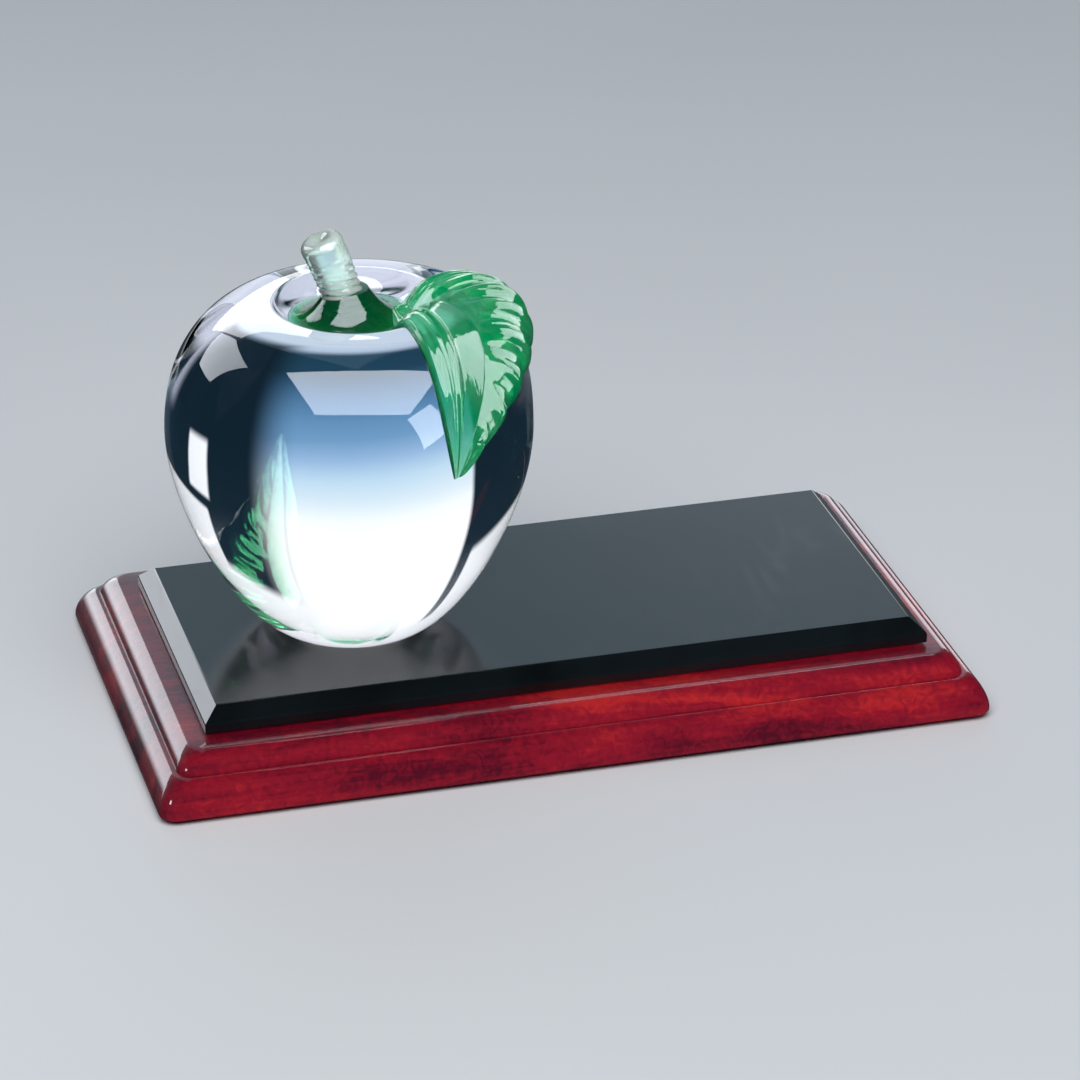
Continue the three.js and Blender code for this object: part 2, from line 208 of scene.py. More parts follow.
upper_foot = LOWER_ROUND_WIDTH + STEP_WIDTH
moulding = np.concatenate([
    [(BOTTOM_EASE + BOTTOM_MARGIN, PLINTH_BOTTOM), (BOTTOM_EASE, PLINTH_BOTTOM)],
    [(BOTTOM_EASE / 3, PLINTH_BOTTOM + BOTTOM_EASE / 3), (0, PLINTH_BOTTOM + BOTTOM_EASE)],
    quarter_round((0, UPRIGHT_TOP), (LOWER_ROUND_WIDTH, STEP_HEIGHT), ROUND_FULLNESS),
    quarter_round((upper_foot, STEP_HEIGHT), (upper_foot + UPPER_ROUND_WIDTH, PLINTH_TOP),
                  ROUND_FULLNESS),
])
wood_finish, place = new_finish("crimson_lacquered_wood")
streaks = place.stretched(0.16, 1, 1).noise(scale=75, detail=5, distortion=1.4, roughness=0.6)
clouds = place.stretched(0.45, 1, 1).noise(scale=42, detail=3, distortion=0.8)
burl = place.noise(scale=330, detail=4, distortion=2.2)
pores = place.stretched(0.05, 1, 1).noise(scale=1500, detail=2)
figure = 0.5 * streaks + 0.3 * clouds + 0.2 * burl
glow = figure.between(0.5, 0.64)
dark = 1 - (figure - 0.08 * pores).between(0.34, 0.48)
end_finish(place, {
    "Base Color": dark.mixed(glow.mixed(CRIMSON, EMBER), WINE),
    "Roughness": 0.42 + 0.2 * pores,
    "Normal": (streaks + 0.5 * pores).bump(GRAIN_DEPTH, strength=0.4),
    "Specular IOR Level": 0.15, "Coat Weight": 1.0, "Coat Roughness": 0.03, "Coat IOR": 1.5,
})
plinth_rings = moulded_rings(PLINTH_LENGTH, PLINTH_WIDTH, PLINTH_CORNER, *moulding.T)
plinth = skin("plinth_board", plinth_rings, wood_finish, "plinth")

# Slab tapes
# Two strips of white foam tape, sticky on both sides, that hold the slab down on the plinth. They
# lie well back from its edges, in the thin gap that they leave under it.
FOAM_LIGHT, FOAM_DARK = (0.62, 0.6, 0.55, 1), (0.4, 0.38, 0.34, 1)
FOAM_CELL_DEPTH = 0.1
tape_finish, place = new_finish("foam_tape")
cells = place.make("TexVoronoi", {}, {"Vector": place, "Scale": 4200.0}, output="Distance")
end_finish(place, {
    "Base Color": cells.between(0.1, 0.6).mixed(FOAM_LIGHT, FOAM_DARK),
    "Roughness": 0.9, "Normal": cells.bump(FOAM_CELL_DEPTH),
})
tapes = [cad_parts[name] for name in ("slab_tape_front", "slab_tape_rear")]
for tape in tapes:
    tape.data.materials.clear()
    tape.data.materials.append(tape_finish)

# Glass slab
# A plate of opaque black glass, ground to a wide bevel on all four sides and polished, with a hair
# of an arris left on each ground edge. It is stuck on the plinth by the tapes.
SLAB_LENGTH, SLAB_WIDTH, SLAB_CORNER, SLAB_CORNER_STEPS = 155.0, 71.2, 0.12, 3
SLAB_CENTRE = (0.6, -1.2, 0)
SLAB_BOTTOM, BEVEL_FOOT, SLAB_TOP, BEVEL_WIDTH = 13.1, 15.2, 18.1, 3.1
ARRIS, ARRIS_CREASE = 0.13, 15
INK, TEAL_INK = (0.003, 0.0045, 0.0055, 1), (0.006, 0.0095, 0.0115, 1)
GLASS_IOR = 1.52
slab_section = np.array([
    (ARRIS, SLAB_BOTTOM), (0, SLAB_BOTTOM + ARRIS),
    (0, BEVEL_FOOT - ARRIS), (ARRIS, BEVEL_FOOT + ARRIS),
    (BEVEL_WIDTH - ARRIS, SLAB_TOP - ARRIS), (BEVEL_WIDTH + ARRIS, SLAB_TOP),
])
slab_finish, place = new_finish("black_glass")
haze = place.noise(scale=28, detail=3, distortion=0.6)
wipes = place.stretched(1, 0.25, 1).noise(scale=140, detail=5, distortion=2.5)
wiped = (haze * wipes).between(0.3, 0.5)
end_finish(place, {
    "Base Color": haze.between(0.35, 0.7).mixed(INK, TEAL_INK),
    "Roughness": 0.19 + 0.06 * wiped, "IOR": GLASS_IOR,
})
slab_rings = moulded_rings(SLAB_LENGTH, SLAB_WIDTH, SLAB_CORNER, *slab_section.T, SLAB_CORNER_STEPS)
slab = skin("slab_plate", slab_rings + SLAB_CENTRE, slab_finish, "glass_slab",
            ARRIS_CREASE)

# Apple bond
# The film of clear adhesive, cured under a lamp, that holds the apple's ground foot on the slab. It
# has squeezed out a little unevenly and is faintly milky.
APPLE_AXIS = np.array([-38.0, -2.8, 18.3])
BOND_RADIUS, BOND_BULGE, BOND_INTO_APPLE = 12.0, 0.1, 0.05
BOND_UNEVENNESS, BOND_SIDES = 0.012, 96
MILK, CLEAR_MILK = (0.62, 0.66, 0.66, 1), (0.8, 0.84, 0.84, 1)


def round_rings(radius, height, sides):
    """Level circles round the upright axis, anticlockwise from above, one for each radius and
    height."""
    turn = np.linspace(0, 2 * np.pi, sides, endpoint=False)
    flat = np.multiply.outer(radius, np.stack([np.cos(turn), np.sin(turn)], axis=-1))
    lift = np.broadcast_to(np.asarray(height)[:, None, None], flat[..., :1].shape)
    return np.concatenate([flat, lift], axis=-1)


bond_finish, place = new_finish("cured_adhesive")
milk = place.noise(scale=380, detail=4, distortion=1.0)
end_finish(place, {
    "Base Color": milk.between(0.3, 0.7).mixed(MILK, CLEAR_MILK), "Roughness": 0.2 + 0.1 * milk,
})
bond_rings = round_rings([BOND_RADIUS - BOND_BULGE, BOND_RADIUS, BOND_RADIUS - BOND_BULGE],
                         [SLAB_TOP, SLAB_TOP + BOND_BULGE, APPLE_AXIS[2] + BOND_INTO_APPLE],
                         BOND_SIDES)
bond_turn = np.linspace(0, 2 * np.pi, BOND_SIDES, endpoint=False)
drawn_in = 1 + np.sin(3 * bond_turn + 1) * np.cos(5 * bond_turn)
bond_rings[..., :2] *= 1 - BOND_UNEVENNESS * drawn_in[None, :, None]
bond = skin("bond_film", bond_rings + APPLE_AXIS * (1, 1, 0), bond_finish, "apple_bond")

# Apple
# A gather of clear lead crystal, blocked and worked hot into an apple with a dimple in its top,
# then ground flat at the foot and polished. It is made by hand, and its crown leans a little.
FOOT, GIRTH = np.array((13.2, 0)), np.array((38.1, 44.3))
CREST, HOLLOW = np.array((17.9, 72)), np.array((0, 62))
FOOT_PULL, BELLY_PULL, SHOULDER_PULL = (9.6, 0), (0, -17), (0, 25.3)
CREST_PULL, RIM_PULL, HOLLOW_PULL = (6, 0), (-4, 0), (10, 0)
UNDER_FOOT = [(4, 0), (8, 0), (12, 0)]
CROWN_LEAN = 2.2
APPLE_STEPS, APPLE_SIDES = 61, 192
CRYSTAL, CRYSTAL_SMEAR = (1.0, 1.0, 1.0, 1), (0.965, 0.98, 1.0, 1)


def bow(start, first_pull, last_pull, end, share):
    """A line pulled from its start and end: the start, the two pulled points and the end, weighted
    (1-t)^3, 3t(1-t)^2, 3t^2(1-t) and t^3 at each share t."""
    t = np.asarray(share)[:, None]
    start, end = np.array(start), np.array(end)
    return ((1 - t) ** 3 * start + 3 * t * (1 - t) ** 2 * (start + first_pull)
            + 3 * t ** 2 * (1 - t) * (end + last_pull) + t ** 3 * end)


def crown_lean(radius, height):
    """How far a point leans towards +X: as the square of its rise over the girth, and near the axis
    as the square of its radius."""
    rise = np.clip((height - GIRTH[1]) / (CREST[1] - GIRTH[1]), 0, None)
    return CROWN_LEAN * rise ** 2 * np.clip(radius / CREST[0], 0, 1) ** 2


def leant(rings):
    """Rings with each point moved by the crown's lean."""
    moved = rings.copy()
    moved[..., 0] += crown_lean(np.hypot(rings[..., 0], rings[..., 1]), rings[..., 2])
    return moved


apple_share = np.linspace(0, 1, APPLE_STEPS)
belly = bow(FOOT, FOOT_PULL, BELLY_PULL, GIRTH, apple_share)
shoulder = bow(GIRTH, SHOULDER_PULL, CREST_PULL, CREST, apple_share)
dimple = bow(CREST, RIM_PULL, HOLLOW_PULL, HOLLOW, apple_share)
outline = np.concatenate([UNDER_FOOT, belly, shoulder[1:], dimple[1:-1]])
apple_finish, place = new_finish("clear_crystal")
smear = place.noise(scale=55, detail=4, distortion=1.2)
end_finish(place, {
    "Base Color": smear.between(0.4, 0.75).mixed(CRYSTAL, CRYSTAL_SMEAR),
    "Roughness": 0.012 * smear.between(0.5, 0.8), "IOR": GLASS_IOR, "Transmission Weight": 1.0,
})
apple_rings = leant(round_rings(*outline.T, APPLE_SIDES)) + APPLE_AXIS
apple = skin("apple_crystal", apple_rings, apple_finish, "apple")

# Stem
# A second gather, of green glass, dropped into the dimple while hot, where it settles into a pool,
# and drawn up into a stalk that is necked with the jacks and cut off with a rounded tip.
FUSED_DEPTH = 0.25
POOL_LEVEL, POOL_STEPS, POOL_RIM_STEP, POOL_MIDDLE = 68.6, 40, 0.1, (2, 0.5)
FLARE_HEIGHT, FLARE_POWER = 6.4, 2.2
ROD_RADIUS, ROD_KNOB, ROD_IN_POOL = 4.3, 0.15, 0.2
ROD_FOOT, ROD_BEND = np.array([0, 0, 70.6]), np.array([-1.6, 0, 76.6])
ROD_TIP = np.array([-5.0, 0, 84.78])
ROD_START, ROD_STEPS = -0.03, 120
ROD_GROOVES, GROOVE_DEPTH, GROOVED_LENGTH, GROOVE_FADE = 7, 0.3, 11.0, 4.0
GROOVE_TILT, GROOVE_TURN = 1.7, 0.6
TIP_ROUND, TIP_STEPS, TIP_HOLLOW, TIP_MIDDLE, HOLLOW_STEPS = 1.7, 12, 0.6, 0.08, 10
STEM_SIDES = 96
SIDEWAYS = np.array([0, 1, 0])
CORD_DEPTH = 0.15
MINT, PALE_MINT, WHITE_GLASS = (0.75, 1.0, 0.87, 1), (0.87, 1.0, 0.935, 1), (0.95, 1.0, 0.97, 1)
GREEN_BODY, PALE_BODY = (0.0, 0.36, 0.12, 1), (0.9, 1.0, 0.95, 1)
GREEN_DEPTH, PALE_DEPTH = (0.0, 0.75, 0.42, 1), (0.0, 0.9, 0.65, 1)


def beside(line, distance):
    """A section line moved to the right of its way by a distance."""
    way = np.gradient(line, axis=0)
    way /= np.linalg.norm(way, axis=1)[:, None]
    return line + distance * np.stack([way[:, 1], -way[:, 0]], axis=-1)


def pool_top(radius, rim):
    """The pool's height at a radius: level at the rim, and a bell up to the rod, as a power of the
    share of the way inward."""
    inward = np.clip((rim - radius) / (rim - ROD_RADIUS), 0, 1)
    return POOL_LEVEL + FLARE_HEIGHT * inward ** FLARE_POWER


def rod_rings(share, sides):
    """Circles square to a line through the foot and the tip, pulled to the bend by 2t(1-t). Their
    radius swells as t^2 and is necked by sin^2 grooves near the foot, tilted by the cosine of the
    turn. The last circle's way and the direction across it come with them."""
    t = share[:, None]
    path = (1 - t) ** 2 * ROD_FOOT + 2 * t * (1 - t) * ROD_BEND + t ** 2 * ROD_TIP
    way = 2 * (1 - t) * (ROD_BEND - ROD_FOOT) + 2 * t * (ROD_TIP - ROD_BEND)
    way /= np.linalg.norm(way, axis=1)[:, None]
    steps = np.linalg.norm(np.diff(path, axis=0), axis=1)
    along = np.concatenate([[0], np.cumsum(steps)])[:, None]
    turn = np.linspace(0, 2 * np.pi, sides, endpoint=False)
    slid = along + GROOVE_TILT * np.cos(turn - GROOVE_TURN) * np.clip(along, 0, 1)
    groove = np.sin(np.pi * ROD_GROOVES * slid / GROOVED_LENGTH) ** 2
    fade = np.clip((GROOVED_LENGTH - along) / GROOVE_FADE, 0, 1)
    radius = ROD_RADIUS + ROD_KNOB * t ** 2 - GROOVE_DEPTH * groove * fade
    across = np.cross(SIDEWAYS, way)
    rings = (path[:, None] + (radius * np.cos(turn))[..., None] * across[:, None]
             + (radius * np.sin(turn))[..., None] * SIDEWAYS)
    return rings, way[-1], across[-1]


def tip_rings(way, across, sides):
    """The rod's rounded end: in as 1 - cos and up as sin over a quarter turn, and then down as
    cos^2 into a shallow hollow in the middle."""
    edge = ROD_RADIUS + ROD_KNOB
    bend = np.linspace(0, np.pi / 2, TIP_STEPS)[1:]
    dish = np.linspace(1, TIP_MIDDLE, HOLLOW_STEPS)[1:]
    radius = np.concatenate([edge - TIP_ROUND * (1 - np.cos(bend)), (edge - TIP_ROUND) * dish])
    hollow = TIP_HOLLOW * np.cos(np.pi * dish / 2) ** 2
    rise = np.concatenate([TIP_ROUND * np.sin(bend), TIP_ROUND - hollow])
    turn = np.linspace(0, 2 * np.pi, sides, endpoint=False)
    return (ROD_TIP + rise[:, None, None] * way
            + np.multiply.outer(radius, np.cos(turn))[..., None] * across
            + np.multiply.outer(radius, np.sin(turn))[..., None] * SIDEWAYS)


def green_glass(name, tint, body, cloudiness, depth_colour, density):
    """Green glass: clear, with paler cords in its tint and a depth of green that grows with the way
    light has through it, and wisps of a cloudy body that scatters light."""
    finish, place = new_finish(name)
    cords = place.stretched(1, 1, 0.3).noise(scale=210, detail=3, distortion=1.8)
    wisps = place.noise(scale=130, detail=2, distortion=1.0)
    paler = cords.between(0.35, 0.7)
    gloss = {"Roughness": 0.01 + 0.02 * cords, "IOR": GLASS_IOR,
             "Normal": cords.bump(CORD_DEPTH, strength=0.5)}
    clear = place.make("BsdfPrincipled", {}, {
        "Base Color": paler.mixed(tint, WHITE_GLASS), "Transmission Weight": 1.0, **gloss})
    cloudy = place.make("BsdfPrincipled", {}, {
        "Base Color": (0.05 * paler).mixed(body, WHITE_GLASS), **gloss})
    cloud_share = cloudiness * (0.7 + 0.6 * wisps)
    place.make("OutputMaterial", {}, {
        "Surface": place.make("MixShader", {}, {0: cloud_share, 1: clear, 2: cloudy}),
        "Volume": place.make("VolumeAbsorption", {}, {"Color": depth_colour, "Density": density}),
    })
    return finish


POOL_RIM = np.interp(POOL_LEVEL, dimple[::-1, 1], dimple[::-1, 0]) + FUSED_DEPTH
under_pool = beside(dimple[::-1], FUSED_DEPTH)[1:]
under_pool = under_pool[under_pool[:, 1] < POOL_LEVEL - POOL_RIM_STEP]
pool_radius = np.linspace(POOL_RIM, ROD_RADIUS - ROD_IN_POOL, POOL_STEPS)
pool_line = np.concatenate([
    under_pool, np.stack([pool_radius, pool_top(pool_radius, POOL_RIM)], axis=-1),
    [(radius, pool_top(0, POOL_RIM)) for radius in POOL_MIDDLE]])
pool_rings = leant(round_rings(*pool_line.T, STEM_SIDES)) + APPLE_AXIS
pool_glass = green_glass("green_glass", MINT, GREEN_BODY, cloudiness=0.08,
                         depth_colour=GREEN_DEPTH, density=1100.0)
pool = skin("stem_pool", pool_rings, pool_glass, "stem")
rod, tip_way, tip_across = rod_rings(np.linspace(ROD_START, 1, ROD_STEPS), STEM_SIDES)
stalk_rings = np.concatenate([rod, tip_rings(tip_way, tip_across, STEM_SIDES)]) + APPLE_AXIS
stalk_glass = green_glass("pale_green_glass", PALE_MINT, PALE_BODY, cloudiness=0.27,
                          depth_colour=PALE_DEPTH, density=50.0)
stalk = skin("stem_stalk", stalk_rings, stalk_glass, "stem")

# Leaf
# A third gather, pressed between ribbed paddles into a leaf and laid hot over the apple's shoulder:
# the near half is folded into a smooth trough, and the far half is ribbed, frilled and rolled at
# its rim.
LEAF_BASE, LEAF_LENGTH = 7.0, 52.0
LEAF_BASE_TURN, LEAF_TURN = np.radians(-4), np.radians(-75.3)
MIDRIB_PULLS, NEAR_EDGE_PULLS = ((6, 13), (-18, 9)), ((8, -5), (-20, -8.5))
FAR_EDGE_PULLS = ((-9, 48), (-31, 30.5))
TIP_WIDTH, TIP_SLANT = 1.2, 0.3
LEAF_TEETH, TOOTH_LENGTH, TOOTH_SHARPNESS = 9, 1.4, 4
LEAF_ROWS, LEAF_COLUMNS, LEAF_CREASE = 235, 111, 75
LEAF_BODY, LEAF_SWELL, SWELL_PLACE, EDGE_SQUARENESS = 1.2, 2.5, 0.5, 14
RIB_HEIGHT, RIB_SLANT, RIB_BLUNTNESS, RIPPLE, RIPPLE_PITCH = 0.9, 0.22, 0.7, 0.3, 2.6
FOLD_PLACES, FOLD_HEIGHTS, FOLD_WIDTH = (0.6, 0.77, 0.92), (1.5, 1.1, 0.7), 0.085
ROLL_HEIGHT, ROLL_PLACE, ROLL_WIDTH = 1.1, 0.93, 0.07
ROLL_LENGTH, ROLL_FADE = 1.6, 2.4
FRILL_LIFT, FRILL_START, FRILL_RAMP = 0.8, 0.15, 0.3
CREST_STEEPNESS, CREST_CUT = 5, 3.6
BRIDGE_STEEPNESS, BRIDGE_END, BRIDGE_LIFT = 8, 0.5, 0.65


def hump(half, place):
    """A rise over half the leaf's width, 0 at the midrib and at the edge and 1 at a place between:
    the sine of half a turn, shifted by raising the half width to a power."""
    return np.sin(np.pi * half ** (np.log(0.5) / np.log(place)))


def ridge(half, place, width):
    """A rounded ridge across the leaf, 1 at a place and dying away to both sides as e^-x^2."""
    return np.exp(-((half - place) / width) ** 2)


def leaf_map(share, side):
    """The leaf laid flat: a point between the midrib and the edge of its side, with saw teeth along
    the far edge, then turned to its place on the apple. Distances from the middle run along the
    skin."""
    lines = [bow((0, 0), *pulls, (LEAF_LENGTH - TIP_SLANT * wide, wide), share) for pulls, wide in
             ((MIDRIB_PULLS, 0), (NEAR_EDGE_PULLS, -TIP_WIDTH), (FAR_EDGE_PULLS, TIP_WIDTH))]
    middle, near, far = (line[:, None] for line in lines)
    along_far = np.gradient(lines[2], axis=0)
    along_far = (along_far / np.linalg.norm(along_far, axis=1)[:, None])[:, None]
    half = np.abs(side)[None, :, None]
    tooth = ((LEAF_TEETH * share) % 1 * (1 - share))[:, None, None] * half ** TOOTH_SHARPNESS
    flat = middle + half * np.where(side[None, :, None] < 0, near - middle, far - middle)
    flat = flat + np.where(side[None, :, None] > 0, TOOTH_LENGTH * tooth * along_far, 0)
    turned = np.array([[np.cos(LEAF_TURN), np.sin(LEAF_TURN)],
                       [-np.sin(LEAF_TURN), np.cos(LEAF_TURN)]])
    return flat @ turned + LEAF_BASE * np.array([np.cos(LEAF_BASE_TURN), np.sin(LEAF_BASE_TURN)])


def rib_wave(share, side):
    """The wave of the slanting ribs: half a turn for each rib along the leaf, later towards the
    edge."""
    return LEAF_TEETH * np.pi * (share[:, None] - RIB_SLANT * np.abs(side)[None])


def frill(share, side):
    """How far the leaf stands off the apple: in the far half only, more towards its rim, on the
    crests of the ribs and, by the crown, between them too. It goes to 0 at both ends as the root of
    a sine."""
    crest = np.clip(CREST_STEEPNESS * np.abs(np.sin(rib_wave(share, side))) - CREST_CUT, 0, 1)
    bridge = np.clip(BRIDGE_STEEPNESS * (BRIDGE_END - share[:, None]), 0, BRIDGE_LIFT)
    outer = np.clip((side[None] - FRILL_START) / FRILL_RAMP, 0, 1)
    return FRILL_LIFT * np.maximum(crest, bridge) * outer * np.sin(np.pi * share[:, None]) ** 0.5


def leaf_height(share, side):
    """The leaf's thickness: folds along the near half, a trough along the midrib, a humped swell
    with slanting ribs and a ripple on the far half, and a roll along its edge that fades towards
    the tip. It goes to 0 at both ends as the root of a sine, and steeply at the edges."""
    t, half = share[:, None], np.abs(side)[None]
    folds = sum(high * ridge(half, place, FOLD_WIDTH)
                for place, high in zip(FOLD_PLACES, FOLD_HEIGHTS))
    wave = rib_wave(share, side)
    ribbed = np.abs(np.sin(wave)) ** RIB_BLUNTNESS + RIPPLE * np.sin(RIPPLE_PITCH * wave)
    ribs = RIB_HEIGHT * ribbed * hump(half, SWELL_PLACE)
    roll_left = np.clip(ROLL_LENGTH - ROLL_FADE * t, 0, 1)
    roll = ROLL_HEIGHT * ridge(half, ROLL_PLACE, ROLL_WIDTH) * roll_left
    tall = np.where(side[None] < 0, folds, LEAF_SWELL * hump(half, SWELL_PLACE) + ribs + roll)
    rounded = (1 - half ** EDGE_SQUARENESS) ** 0.5
    return np.sin(np.pi * t) ** 0.5 * rounded * (LEAF_BODY + tall)


skin_line = np.concatenate([dimple[::-1], shoulder[::-1][1:], belly[::-1][1:]])
skin_steps = np.linalg.norm(np.diff(skin_line, axis=0), axis=1)
skin_length = np.concatenate([[0], np.cumsum(skin_steps)])
skin_way = np.gradient(skin_line, skin_length, axis=0)


def over_glass(flat, height):
    """A point at a height over the glass, from the leaf's flat map round the apple's axis: its
    distance from the middle runs along the skin, and inside the crest it is raised on to the
    pool."""
    reach = np.linalg.norm(flat, axis=-1)
    along = skin_length[len(dimple) - 1] + reach - CREST[0]
    radius, rise = (np.interp(along, skin_length, skin_line[:, axis]) for axis in (0, 1))
    way_out, way_up = (np.interp(along, skin_length, skin_way[:, axis]) for axis in (0, 1))
    lean = crown_lean(radius, rise)
    out, up = radius + way_up * FUSED_DEPTH, rise - way_out * FUSED_DEPTH
    up = np.where(radius < CREST[0], np.maximum(up, pool_top(out, POOL_RIM) - FUSED_DEPTH), up)
    out, up = out - way_up * height, up + way_out * height
    east, north = np.moveaxis(flat / reach[..., None], -1, 0)
    return np.stack([out * east + lean, out * north, up], axis=-1)


leaf_share = np.linspace(0, 1, LEAF_ROWS + 1)[1:-1]
leaf_side = np.linspace(-1, 1, LEAF_COLUMNS)
flat_leaf = leaf_map(leaf_share, leaf_side)
leaf_lift = frill(leaf_share, leaf_side)
leaf_under = over_glass(flat_leaf, leaf_lift)
leaf_upper = over_glass(flat_leaf, leaf_lift + leaf_height(leaf_share, leaf_side) + FUSED_DEPTH)
leaf_rings = np.concatenate([leaf_under, leaf_upper[:, ::-1]], axis=1) + APPLE_AXIS
leaf_glass = green_glass("leaf_green_glass", MINT, GREEN_BODY, cloudiness=0.3,
                         depth_colour=GREEN_DEPTH, density=560.0)
leaf = skin("leaf_blade", leaf_rings, leaf_glass, "leaf", LEAF_CREASE)

# Studio
# A pale floor of seamless paper under a broad lamp, panels and lamps that are there for the glass
# or for the base alone, and a bright sheet far behind with a blue foot, which is what the crystal
# shows upside down. All of it is in metres.
FLOOR_HALF, FLOOR_DROP = 4.0, 0.0001
FLOOR_PALE, FLOOR_SHADE = (0.78, 0.79, 0.81, 1), (0.73, 0.74, 0.76, 1)


def stage_sheet(name, corners, finish):
    """A flat sheet of the studio, not of the object, between its corners."""
    mesh = bpy.data.meshes.new(name)
    mesh.from_pydata([tuple(corner) for corner in corners], [], [tuple(range(len(corners)))])
    mesh.materials.append(finish)
    sheet = bpy.data.objects.new(name, mesh)
    bpy.context.scene.collection.objects.link(sheet)
    return sheet


floor_finish, place = new_finish("seamless_paper")
mottle = place.noise(scale=3, detail=2).between(0.3, 0.7)
end_finish(place, {"Base Color": mottle.mixed(FLOOR_PALE, FLOOR_SHADE), "Roughness": 0.8})
floor_corners = [(FLOOR_HALF * x, FLOOR_HALF * y, -FLOOR_DROP)
                 for x, y in ((-1, -1), (1, -1), (1, 1), (-1, 1))]
floor = stage_sheet("floor", floor_corners, floor_finish)
floor.visible_glossy = bond.visible_glossy = False
for under_glass in (floor, felt, plinth, slab, bond, *tapes):
    under_glass.visible_transmission = False


def heading(azimuth, elevation):
    """The direction at an azimuth from the front, towards +X, and an elevation, in degrees."""
    turn, lift = np.radians([azimuth, elevation])
    return Vector((np.sin(turn) * np.cos(lift), -np.cos(turn) * np.cos(lift), np.sin(lift)))


def lit_group(name, *pieces):
    """The pieces that a lamp or a panel is there for."""
    group = bpy.data.collections.new(name)
    for piece in pieces:
        group.objects.link(piece)
    return group


glass_pieces = lit_group("glass_pieces", apple, pool, stalk, leaf)
base_pieces = lit_group("base_pieces", felt, plinth, slab)
leaf_only = lit_group("leaf_only", leaf)
PANEL_AIM = Vector((-0.040, -0.025, 0.080))
UNFADED = (-2, -1)
COOL, UNLIT = (0.88, 0.93, 1.0, 1), (0, 0, 0, 1)


def panel(name, headings, strength, lights, distance=1.2, fade=UNFADED):
    """A glowing panel with its corners at these headings from the apple's front, in the plane
    square to their mean, and fading out downwards between two heights. Only the pieces in the
    collection mirror it."""
    ways = [heading(*way) for way in headings]
    middle = sum(ways, Vector()).normalized()
    finish, place = new_finish(name)
    lit = place.make("SeparateXYZ", {}, {"Vector": place}, output="Z").between(*fade)
    glow = place.make("Emission", {}, {"Color": lit.mixed(UNLIT, COOL), "Strength": strength})
    place.make("OutputMaterial", {}, {"Surface": glow})
    corners = [PANEL_AIM + distance / way.dot(middle) * way for way in ways]
    sheet = stage_sheet(name, corners, finish)
    sheet.visible_camera = sheet.visible_diffuse = sheet.visible_shadow = False
    sheet.visible_transmission = False
    sheet.light_linking.receiver_collection = lights


panel("front_panel", [(-105, 61), (70, 48), (25, 22.5), (-40, 32)], 9.0, glass_pieces)
panel("right_panel", [(23, 19), (41, 25), (50, 0), (32, -5.5)], 9.0, glass_pieces)
panel("left_rear_panel", [(-165, 4), (-156, 34.5), (-122, 43), (-124, 15.6)], 5.5, glass_pieces)
panel("leaf_panel", [(75, 8), (75, 60), (128, 60), (128, 8)], 7.0, leaf_only)
panel("left_base_panel", [(-177, -9), (-177, 22), (-135, 30), (-135, -9)], 4.4, base_pieces,
      fade=(-0.11, 0.12))
panel("right_base_panel", [(138, -9), (138, 17), (162, 17), (162, -9)], 2.3, base_pieces)
panel("back_strip", [(135, 44.6), (135, 47), (175, 47), (175, 44.6)], 11.0, base_pieces)
panel("corner_lamp", [(-72, 24), (-72, 32), (-62, 32), (-62, 24)], 16.0, base_pieces)


def soft_light(name, wide, deep, brightness, way, distance, lights, seen=None):
    """A rectangular lamp at a distance along a way from the middle of the object, facing it. It
    lights the pieces in a collection and isn't seen in them, or else it is only seen mirrored or
    through glass."""
    lamp = bpy.data.lights.new(name, "AREA")
    lamp.shape, lamp.size, lamp.size_y = "RECTANGLE", wide, deep
    lamp.energy = brightness * np.pi * wide * deep
    stand = bpy.data.objects.new(name, lamp)
    turned = way.to_track_quat("Z", "Y").to_matrix().to_4x4()
    stand.matrix_world = Matrix.Translation(distance * way) @ turned
    stand.visible_camera, stand.visible_diffuse = False, seen is None
    stand.visible_glossy, stand.visible_transmission = seen == "mirrored", seen == "through"
    stand.light_linking.receiver_collection = lights
    bpy.context.scene.collection.objects.link(stand)


soft_light("floor_light", wide=1.6, deep=1.2, brightness=3.4, way=heading(-20, 60), distance=1.4,
           lights=lit_group("floor_and_glass", floor, apple, pool, stalk, leaf))
soft_light("base_light", wide=1.6, deep=1.2, brightness=3.4, way=heading(6, 38), distance=1.4,
           lights=base_pieces)
soft_light("green_light", wide=0.5, deep=0.5, brightness=14.0, way=heading(20, 50), distance=0.9,
           lights=lit_group("green_pieces", pool, stalk, leaf))
soft_light("leaf_back_light", wide=0.65, deep=0.6, brightness=24.0, way=heading(6, 27),
           distance=1.2, lights=leaf_only, seen="through")
soft_light("leaf_rim_light", wide=1.2, deep=0.32, brightness=3.0, way=heading(165, 15),
           distance=1.0, lights=leaf_only, seen="mirrored")
soft_light("crest_light", wide=0.52, deep=0.38, brightness=3.8, way=heading(186, 31),
           distance=1.0, lights=lit_group("apple_only", apple), seen="mirrored")

